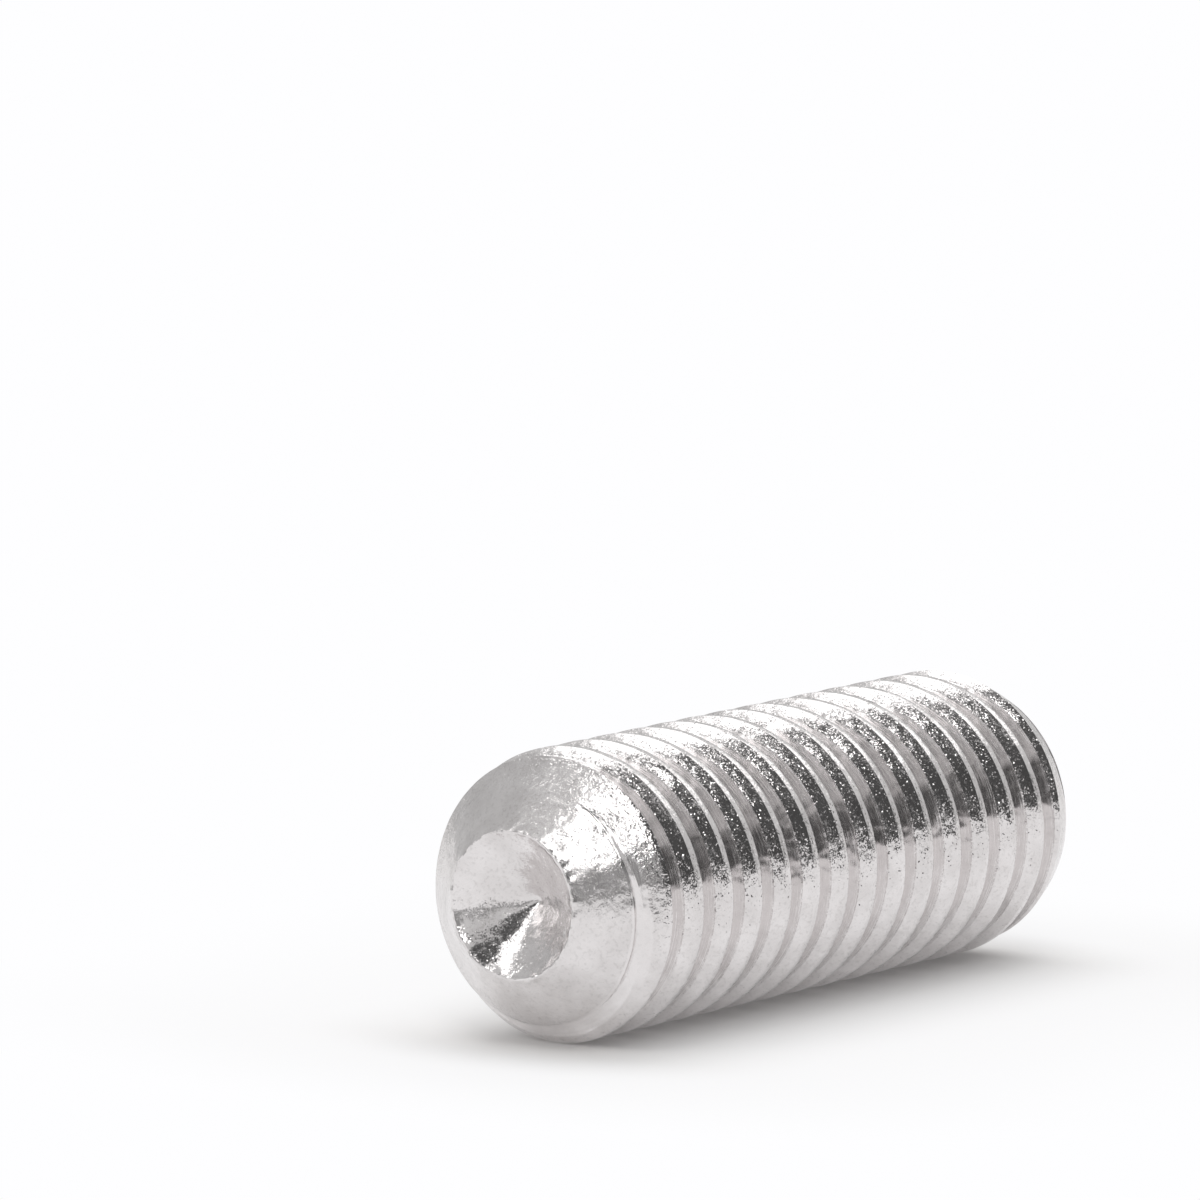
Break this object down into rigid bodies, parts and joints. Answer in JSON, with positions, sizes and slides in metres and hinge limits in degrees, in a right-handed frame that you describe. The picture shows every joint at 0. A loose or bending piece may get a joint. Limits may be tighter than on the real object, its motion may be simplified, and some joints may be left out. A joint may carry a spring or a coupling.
{
  "type": "grub set screw",
  "caption": "Stainless steel grub screw, M6 by 16 mm, with a hexagon socket, a cup point and a right-hand thread.",
  "frame": {"origin": "centre of the flat socket end that the screw stands on", "axes": "+Z along the screw's axis, from the socket end to the cup point"},
  "size_m": [0.0058, 0.0058, 0.016],
  "materials": {
    "steel": "plain stainless steel, matt grey at the point and in the thread, worn bright along the crests"
  },
  "bodies": {
    "root": {"set_screw": "steel"}
  },
  "joints": []
}
